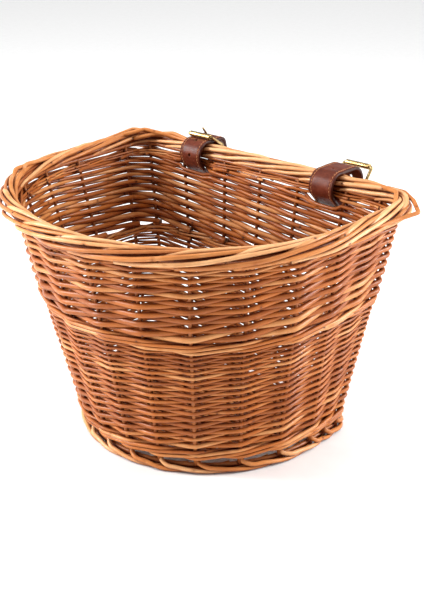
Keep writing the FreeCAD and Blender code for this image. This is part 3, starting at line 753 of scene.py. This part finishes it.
# Border rods that were kinked where they turn a corner, or that stand proud of it.
KINKED_RODS = [
    [(-181, 35, 238), (-180, 70, 242), (-173, 101, 248), (-150, 114, 246), (-110, 119, 242),
     (-80, 119, 238)],
    [(-175, 50, 239), (-172, 85, 245), (-160, 106, 249), (-130, 116, 245), (-90, 118, 241),
     (-60, 118, 237)],
    [(-166, 95, 240), (-148, 112, 245), (-128, 117, 248), (-100, 118, 243), (-60, 119, 238)],
    [(-146, -92, 230), (-158, -74, 246), (-170, -35, 243), (-177, 10, 240), (-176, 45, 236)],
    [(-150, -82, 230), (-160, -60, 247), (-170, -20, 243), (-173, 20, 238)],
    [(110, 118, 238), (140, 119, 243), (160, 116, 244), (178, 103, 243), (194, 86, 240), (186, 68, 237),
     (180, 40, 235), (174, 10, 232)],
    [(105, 116, 240), (135, 117, 244), (157, 107, 246), (173, 80, 242), (170, 66, 238), (165, 40, 236)],
]


def core_rods(offsets, share, height, radius, tint, bow=0.0):
    """Rods that run all the way round inside a border, at offsets of out and up. bow is how
    much further out they lie half way round."""
    rods = []
    for out, up in offsets:
        knots = [(0.0, out, up), (STAKE_COUNT / 2, out + bow, up), (STAKE_COUNT, out, up)]
        line, sizes = ring_strand(0.0, knots, share, height, (radius, radius))
        rods.append((line, sizes, tint))
    return rods


def rim_border():
    """A rolled border: outer strands climb from the wall over the outside, inner strands rise
    between them, cross the top and are tucked down inside."""
    rods = []
    for i in range(STAKE_COUNT):
        run = stake_run(i) + shake(4)
        outer = [
            (-0.25, -4.5, -12.0), (0.05, -1.0, -10.0), (0.4, 5.0 + shake(0.6), -7.0 + shake(0.8)),
            (1.1, 7.2 + shake(0.6), -2.8 + shake(0.9)), (1.9, 6.2 + shake(0.6), 1.4 + shake(0.8)),
            (2.7, 3.2 + shake(0.6), 4.4 + shake(0.4)), (3.4, shake(0.35), 4.4), (4.0, -2.5, 1.5)]
        line, sizes = ring_strand(run, outer, 1.0, RIM_HEIGHT, (2.25, 1.5), drawn_in=5.5)
        rods.append((line, sizes * chance.uniform(0.93, 1.08), uneven(0.35, 0.3)))
        inner = [
            (0.0, 2.6, -3.0), (0.2, 3.2, 1.4), (0.5, 2.0 + shake(0.7), 4.6 + shake(0.5)),
            (1.1, -2.0 + shake(0.8), 5.0 + shake(0.5)), (1.8, -5.4 + shake(0.6), 3.0 + shake(0.8)),
            (2.5, -6.8 + shake(0.35), -0.8 + shake(0.8)), (3.1, -5.6, -4.2), (3.3, -5.0, -6.5)]
        line, sizes = ring_strand(run + 0.55 * STEP, inner, 1.0, RIM_HEIGHT, (2.5, 1.6),
                                  drawn_in=3.0)
        rods.append((line, sizes * chance.uniform(0.95, 1.05), uneven(0.25, 0.25)))
    for corners in KINKED_RODS:
        line, sizes = rounded(np.array(corners), np.linspace(2.3, 1.7, len(corners)), 0.1)
        rods.append((line, sizes, uneven(0.35, 0.2)))
    core = ((-3.2, -1.6), (1.6, -2.2), (-1.0, 1.0), (-5.0, -5.6))
    rods += core_rods(core, 1.0, RIM_HEIGHT, 2.3, 0.8, bow=0.4)
    return rods_object("rim_border_rods", rods, border_willow, sides=10)


FOOT_HEIGHT = 5.0
# the foot border takes its outline from the wall at this share of the height
FOOT_SHARE = 0.02


def foot_border():
    """The foot: each stake turns to the right under the wale and runs down past two others."""
    rods = []
    for i in range(STAKE_COUNT):
        knots = [
            (-0.02, 0.2, 12.0), (0.04, 1.8, 6.2), (0.16, 4.2, 3.4 + shake(0.3)),
            (0.6, 5.2 + shake(0.3), 0.8 + shake(0.5)), (1.1, 5.0 + shake(0.3), -1.8 + shake(0.4)),
            (1.6, 3.2 + shake(0.3), -2.7), (2.1, -0.4, -2.5), (2.5, -4.0, -1.0), (2.8, -5.8, 0.6)]
        line, sizes = ring_strand(stake_run(i), knots, FOOT_SHARE, FOOT_HEIGHT, (2.3, 1.7), 12)
        rods.append((line, sizes * chance.uniform(0.93, 1.07), uneven(0.3, 0.25)))
    rods += core_rods(((-1.8, 1.0), (-3.4, -2.4)), FOOT_SHARE, FOOT_HEIGHT, 2.2, 0.7)
    return rods_object("foot_border_rods", rods, border_willow, sides=10)


def side_stakes():
    rods = []
    heights = np.linspace(8.0, 233.0, 30)
    for i in range(STAKE_COUNT):
        line = np.array([stake_point(i, z) for z in heights])
        line[:, 0] += wobble(len(heights), 0.25)
        line[:, 1] += wobble(len(heights), 0.25)
        radii = np.linspace(STAKE_RADIUS + 0.1, STAKE_RADIUS - 0.45, len(heights))
        rods.append((line, radii, uneven(0.5, 0.25)))
    return rods_object("side_stake_rods", rods, stick_willow, sides=10)


BASE_MIDDLE = 20.0
BASE_SHARE = BASE_MIDDLE / RIM_HEIGHT
BASE_STICKS = [(i - 3) * 32.0 for i in range(7)]
BASE_STICK_RADIUS = 2.5
BASE_ROD_RADIUS = 1.75


def base_half_width(y, inset):
    """Half the width of the inside of the wall at one depth, at the height of the base."""
    samples, near = 40, 3.5
    spots = [edge_point(edge, k / samples) for k in range(samples + 1)
             for edge in d_edges(BASE_SHARE, RIM_OVERHANG * BASE_SHARE + inset)]
    return max((abs(px) for px, py in spots if abs(py - y) < near), default=0.0)


def base_weave():
    """The base: rods woven from side to side, over and under the seven sticks."""
    plan = level(BASE_SHARE, RIM_OVERHANG * BASE_SHARE + 7.0)
    depth = plan["back"] - plan["front"]
    shortest, spacing = 14, 1.03
    rods = []
    rows = int(depth / (2 * BASE_ROD_RADIUS * spacing))
    for row in range(rows):
        y = plan["front"] + (row + 0.5) * depth / rows
        half = base_half_width(y, 6.0)
        if half < shortest:
            continue
        corners = [np.array([-half, y, BASE_MIDDLE])]
        for k, x in enumerate(BASE_STICKS):
            if abs(x) < half - 4:
                over = 1.0 if (k + row) % 2 == 0 else -1.0
                lift = over * (BASE_STICK_RADIUS + BASE_ROD_RADIUS * 0.85)
                corners.append(np.array([x, y + shake(0.25), BASE_MIDDLE + lift]))
        corners.append(np.array([half, y, BASE_MIDDLE]))
        radius = BASE_ROD_RADIUS * chance.uniform(0.93, 1.05)
        line, sizes = rounded(corners, [radius] * len(corners), 0.22)
        line[:, 1] += wobble(len(line), 0.2)
        rods.append((line, sizes, uneven(0.5, 0.3)))
    return rods_object("base_weave_rods", rods, weave_willow)


def base_sticks():
    """Straight rods from front to back; the outer ones stop where the side arcs close in."""
    samples, short, side_arc_closing = 24, 5, 1.25
    plan = level(BASE_SHARE, RIM_OVERHANG * BASE_SHARE + 5.3)
    rods = []
    for x in BASE_STICKS:
        drop = plan["front_r"] - math.sqrt(plan["front_r"] ** 2 - x ** 2)
        ys = np.linspace(plan["front"] + drop * side_arc_closing + short, plan["back"] - short, samples)
        line = np.stack([x + wobble(samples, 0.3), ys, np.full(samples, BASE_MIDDLE)], 1)
        rods.append((line, BASE_STICK_RADIUS, uneven(0.6, 0.2)))
    return rods_object("base_stick_rods", rods, stick_willow, sides=10)


WALL_PIECES = [
    (randing("lower_weave_rods", 27.0, 140.5, 33, 3, 0.45, 0.505), "lower_weave", "willow_weave"),
    (randing("upper_weave_rods", 148.5, 225.0, 19, 0, 0.45, 0.585), "upper_weave", "willow_weave"),
    (waling("bottom_wale_rods", 14.0, 30.0, 3.7, 0.4), "bottom_wale", "willow_wale"),
    (waling("middle_wale_rods", 138.0, 152.0, 3.4, 0.35), "middle_wale", "willow_wale"),
    (waling("top_wale_rods", 222.0, 231.5, 2.4, 0.45), "top_wale", "willow_wale"),
    (rim_border(), "rim_border", "willow_border"),
    (foot_border(), "foot_border", "willow_border"),
    (side_stakes(), "side_stakes", "willow_sticks"),
    (base_sticks(), "base_sticks", "willow_sticks"),
    (base_weave(), "base_weave", "willow_weave"),
]
for piece, node, slot in WALL_PIECES:
    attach(piece, "basket")
    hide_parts(node)


# ---- leather straps
SEAM_SIDE = 10.5
CREASE_SIDE = 12.1
EDGE_RADIUS = 0.9


def strip_profile():
    """The leather's section: round edges, a crease line and a sunk seam near each side."""
    flat_half = STRAP_HALF - EDGE_RADIUS
    deep_half = HALF_LEATHER - EDGE_RADIUS
    plain = 9.2
    top = np.unique(np.round(np.concatenate([
        np.linspace(-flat_half, -plain, 16), np.linspace(-plain, plain, 9),
        np.linspace(plain, flat_half, 16)]), 3))
    points = []
    for x in top:
        crease = 0.22 * math.exp(-((abs(x) - CREASE_SIDE) / 0.28) ** 2)
        seam = 0.32 * math.exp(-((abs(x) - SEAM_SIDE) / 0.55) ** 2)
        points.append((x, HALF_LEATHER - crease - seam))

    def edge(x, deep, first_turn, parts):
        for part in parts:
            turn = first_turn - part * QUARTER / 4
            points.append((x + EDGE_RADIUS * math.cos(turn), deep + EDGE_RADIUS * math.sin(turn)))

    edge(flat_half, deep_half, QUARTER, range(1, 5))
    edge(flat_half, -deep_half, 0.0, range(5))
    points += [(x, -HALF_LEATHER) for x in np.linspace(9.0, -9.0, 7)]
    edge(-flat_half, -deep_half, -QUARTER, range(5))
    edge(-flat_half, deep_half, 2 * QUARTER, range(4))
    return np.array(points)


def oblong(low, high, width, out, reach=4.0):
    """A cutter: a slot with round ends from one point to another, or a round hole if they are
    the same. It reaches this far each way along its direction."""
    low, high, out = (np.asarray(v, float) for v in (low, high, out))
    out = out / np.linalg.norm(out)
    ahead = high - low
    length = np.linalg.norm(ahead)
    ahead = ahead / length if length > TINY else np.cross(out, (1.0, 0.0, 0.0))
    across = np.cross(out, ahead)
    ring = []
    for centre, first in ((high, -QUARTER), (low, QUARTER)):
        for k in range(13):
            turn = first + k * math.pi / 12
            ring.append(centre + (ahead * math.cos(turn) + across * math.sin(turn)) * width / 2)
    ring = np.array(ring)
    count = len(ring)
    verts = np.concatenate([ring - out * reach, ring + out * reach])
    faces = [list(range(count))[::-1], list(range(count, 2 * count))]
    faces += [[k, (k + 1) % count, (k + 1) % count + count, k + count] for k in range(count)]
    return new_object("cutter", verts, faces, [])


def carve(obj, cutters):
    """Cut holes through a piece with real edges."""
    for cutter in cutters:
        modifier = obj.modifiers.new("hole", "BOOLEAN")
        modifier.operation = "DIFFERENCE"
        modifier.solver = "EXACT"
        modifier.object = cutter
    bpy.context.view_layer.update()
    shape = bpy.data.meshes.new_from_object(obj.evaluated_get(bpy.context.evaluated_depsgraph_get()))
    obj.modifiers.clear()
    obj.data = shape
    for cutter in cutters:
        bpy.data.objects.remove(cutter)


def leather_strap(side):
    """The leather loop along its route. Its tail, the left one's start and the right one's end,
    has a rounded tip."""
    points, outward = ROUTES[side]
    profile = strip_profile()
    run = run_along(points)
    from_tip = run if side == "left" else run[-1] - run
    tip, blunt = 9.0, 0.03
    narrow = np.sqrt(np.clip(1 - ((tip - np.minimum(from_tip, tip)) / tip) ** 2, blunt, 1))
    ripple = 0.12 * np.sin(run / 6.3) + 0.09 * np.sin(run / 3.1 + 1.3)
    verts = []
    for k in range(len(points)):
        for x, deep in profile:
            reach = deep + ripple[k] * (1 if deep > 0 else 0.3)
            verts.append(yz(side, *(points[k] + outward[k] * reach), x * narrow[k]))
    material = leather(side + "_leather", STRAP_X[side])
    return new_object(side + "_strap_leather", verts, tube_faces(len(points), len(profile)), [material])


def yz(side, y, z, x=0.0):
    """A point of a strap from its place about the rim border's middle."""
    return np.array([STRAP_X[side] + x, BACK_LINE + y, RIM_HEIGHT + z])


# round holes, at these turns about the border that the strap wraps, in degrees
PUNCHED = {"left": (178, 105), "right": (70,)}
PUNCH_WIDTH = 3.2
# the prong's slots, in the left one's tail and in each fold round a heel bar: the ends, the
# width, the way it is cut and how far it is cut each way
PRONG_SLOTS = {
    "left": (((8.0, 9.0), (15.0, 9.5), 4.0, (0, 0.1, 1.0), 4.0),
             ((12.5, -0.5), (19.5, 3.0), 4.2, (0, 0.7, 0.7), 4.0)),
    "right": (((32.0, -14.9), (32.0, -4.1), 4.2, (0, 1.0, 0.0), 6.2),),
}


def strap_cutters(side):
    cutters = []
    for angle in PUNCHED[side]:
        turn = math.radians(angle)
        out = np.array([0.0, math.cos(turn), math.sin(turn)])
        (cy, cz), radius = BORDER_WRAP
        middle = yz(side, cy, cz) + out * radius
        cutters.append(oblong(middle, middle, PUNCH_WIDTH, out))
    for low, high, *cut in PRONG_SLOTS[side]:
        cutters.append(oblong(yz(side, *low), yz(side, *high), *cut))
    return cutters


STITCH_PITCH = 3.3
STITCH_LENGTH = 2.7
# at five points along a stitch
STITCH_RADII = np.array([0.3, 0.38, 0.4, 0.38, 0.3])
STITCH_LIFT = np.array([-0.55, -0.02, 0.06, -0.02, -0.55])


def stitches(side):
    """Separate stitches that dip into the leather at both ends."""
    points, outward = SEAMS[side]
    run = run_along(points)
    lift = HALF_LEATHER + STITCH_LIFT
    slant = np.linspace(-0.12, 0.12, len(lift))
    rods = []
    for x in (-SEAM_SIDE, SEAM_SIDE):
        for k in range(int((run[-1] - 2) / STITCH_PITCH)):
            where = 1 + k * STITCH_PITCH + np.linspace(0, STITCH_LENGTH, len(lift))
            y, z = (np.interp(where, run, points[:, axis])
                    + lift * np.interp(where, run, outward[:, axis]) for axis in (0, 1))
            rods.append((yz(side, y, z, x + slant).T, STITCH_RADII, 0.5))
    return rods_object(side + "_strap_stitches", rods, [thread_material, thread_material])


straps = {side: leather_strap(side) for side in ("left", "right")}
for side, piece in straps.items():
    carve(piece, strap_cutters(side))
    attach(piece, side + "_strap_loop")
    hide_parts(side + "_strap")
    seams = stitches(side)
    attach(seams, side + "_strap_loop")
    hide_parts(side + "_strap_stitching")


# ---- buckles
def turned(points, side, turn):
    """Local buckle points (x across, -y forwards) turned about the heel bar and put in place."""
    spin = np.array(Matrix.Rotation(math.radians(turn), 3, "X"))
    return np.asarray(points) @ spin.T + yz(side, *HEEL[side])


BUCKLE_LENGTH = 21.0
BUCKLE_HALF = 16.1
BUCKLE_CORNER = 2.0


def buckle_frame(side):
    """A bent brass rod in a closed rectangle."""
    points = []
    # each corner's middle, and the quarter turn it starts at
    corner_x, near, far = BUCKLE_HALF - BUCKLE_CORNER, -BUCKLE_CORNER, BUCKLE_CORNER - BUCKLE_LENGTH
    for cx, cy, first in (
            (corner_x, near, 1), (corner_x, far, 0), (-corner_x, far, 3), (-corner_x, near, 2)):
        for k in range(9):
            turn = first * QUARTER - k * QUARTER / 8
            points.append((cx + BUCKLE_CORNER * math.cos(turn), cy + BUCKLE_CORNER * math.sin(turn), 0.0))
    corners = np.array(points)
    line = []
    longest, sides = 1.5, 16
    for start, stop in zip(corners, np.roll(corners, -1, 0)):
        cuts = max(1, int(np.linalg.norm(stop - start) / longest))
        line += [start + (stop - start) * cut / cuts for cut in range(cuts)]
    line = np.array(line)
    closed = np.concatenate([line[-2:], line, line[:2]])
    rings = tube_rings(closed, np.full(len(closed), WIRE_RADIUS), sides, (0.0, 0.0, 1.0))[2:-2]
    verts = turned(rings.reshape(-1, 3), side, FRAME_TURN[side])
    faces = tube_faces(len(line), sides, closed=True)
    return new_object(side + "_buckle_wire", verts, faces, [brass_frame])


def roller(side):
    """A rolled brass tube with eased ends and the seam where its sheet meets."""
    half, outer, inner, ease = 13.8, 2.8, 1.66, 0.45
    around, seam_depth = 40, 0.3
    turns = [k * QUARTER / 3 for k in range(4)]
    section = [(-half, inner), (-half, outer - ease)]
    section += [(ease - half - ease * math.cos(turn), outer - ease + ease * math.sin(turn))
                for turn in turns[1:]]
    section += [(x, outer) for x in np.linspace(-half + 2, half - 2, 9)]
    section += [(half - ease + ease * math.sin(turn), outer - ease + ease * math.cos(turn))
                for turn in turns]
    section += [(half, inner)]
    verts = []
    for k in range(around):
        turn = 2 * math.pi * k / around
        for x, radius in section:
            reach = radius - (seam_depth if k == 0 and radius > inner else 0.0)
            verts.append((x, reach * math.cos(turn) - BUCKLE_LENGTH, reach * math.sin(turn)))
    verts = turned(verts, side, FRAME_TURN[side])
    faces = tube_faces(around, len(section), closed=True)
    return new_object(side + "_roller_tube", verts, faces, [brass_roller])


def prong(side):
    """A brass tongue: its eye is bent round the heel bar, and its tip tapers to a rounded end."""
    eye, thick, sides = 2.72, 1.02, 14
    line = [(0.0, eye * math.cos(turn), eye * math.sin(turn))
            for turn in np.radians(np.linspace(-150, 150, 26))]
    line += [(0.0, -3.2, 0.62), (0.0, -4.2, 0.2), (0.0, -5.6, 0.0)]
    line += [(0.0, y, 0.0) for y in np.linspace(-7.5, -22.0, 12)]
    line += [(0.0, -23.0, 0.0), (0.0, -23.6, 0.0), (0.0, -23.95, 0.0)]
    line = np.array(line)
    radii = np.concatenate([np.full(29, thick), np.linspace(thick, 0.85, 12), [0.72, 0.5, 0.18]])
    rings = tube_rings(line, radii, sides, (1.0, 0.0, 0.0))
    # wider than it is thick
    rings[:, :, 0] *= 1.45
    verts = turned(rings.reshape(-1, 3), side, PRONG_TURN[side])
    return new_object(side + "_prong_tongue", verts, tube_faces(len(line), sides), [brass_frame])


for side in ("left", "right"):
    for piece, node, body, slot in (
            (buckle_frame(side), "_buckle_frame", "_buckle", "buckle_brass"),
            (roller(side), "_buckle_roller", "_roller", "roller_brass"),
            (prong(side), "_buckle_prong", "_prong", "prong_brass")):
        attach(piece, side + body)
        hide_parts(side + node)


# ---- floor, light and camera
def floor():
    """A wide pale floor."""
    t = Tree("studio_floor")
    place = t.add("TexCoord").outputs["Object"]
    fine = t.noise(place, 60.0, 3.0)
    colour = t.ramp(fine, [(0.3, (0.93, 0.93, 0.93)), (0.7, (0.96, 0.96, 0.96))])
    t.finish(Base_Color=colour, Roughness=0.9)
    reach = 9000
    verts = [(-reach, -reach, 0), (reach, -reach, 0), (reach, reach, 0), (-reach, reach, 0)]
    obj = new_object("studio_floor", verts, [[0, 1, 2, 3]], [t.material], smooth=False)


def stand(name, data, place, heading):
    """Put a lamp or a camera at a place, looking along a heading."""
    obj = bpy.data.objects.new(name, data)
    obj.location = place
    obj.rotation_mode = "QUATERNION"
    obj.rotation_quaternion = heading.to_track_quat("-Z", "Y")
    bpy.context.scene.collection.objects.link(obj)
    return obj


def studio_world():
    """A pale wall round the horizon, a dim gap above it and a soft canopy overhead."""
    world = bpy.data.worlds.new("studio")
    world.use_nodes = True
    tree = world.node_tree
    place = tree.nodes.new("ShaderNodeTexCoord")
    split = tree.nodes.new("ShaderNodeSeparateXYZ")
    tree.links.new(place.outputs["Generated"], split.inputs["Vector"])
    fade = tree.nodes.new("ShaderNodeValToRGB")
    tree.links.new(split.outputs["Z"], fade.inputs["Fac"])
    greys = ((0.0, 0.86), (0.20, 0.86), (0.34, 0.10), (0.45, 0.14), (0.95, 0.85))
    fill_ramp(fade, [(height, (grey, grey, grey)) for height, grey in greys])
    tree.links.new(fade.outputs["Color"], tree.nodes["Background"].inputs["Color"])
    return world


floor()
bpy.context.scene.world = studio_world()
bpy.context.scene.view_settings.view_transform = "Standard"

AZIMUTH = math.radians(41.2)
ELEVATION = math.radians(23.4)
DISTANCE = 1.0600
LOOK_AT = Vector((0.0373, -0.00985, 0.1432))
back = Vector((math.sin(AZIMUTH) * math.cos(ELEVATION), -math.cos(AZIMUTH) * math.cos(ELEVATION),
               math.sin(ELEVATION)))
right = Vector((math.cos(AZIMUTH), math.sin(AZIMUTH), 0.0))
middle = Vector((0.0, 0.0, 0.12))
for name, sideways, rise, size, power in (
        ("left_softbox", -1.5, 0.75, (0.5, 1.1), 40), ("right_softbox", 1.5, 0.6, (0.45, 1.0), 30)):
    lamp = bpy.data.lights.new(name, "AREA")
    lamp.shape = "RECTANGLE"
    lamp.size, lamp.size_y = size
    lamp.energy = power
    place = middle + right * sideways + Vector((0, 0, rise))
    stand(name, lamp, place, middle - place)
sky = bpy.data.lights.new("top_sun", "SUN")
sky.energy = 0.95
sky.angle = math.radians(80)
sun = bpy.data.objects.new("top_sun", sky)
bpy.context.scene.collection.objects.link(sun)

camera = bpy.data.cameras.new("camera")
camera.lens = 68.07
camera.sensor_width = 36.0
bpy.context.scene.camera = stand("camera", camera, LOOK_AT + back * DISTANCE, -back)
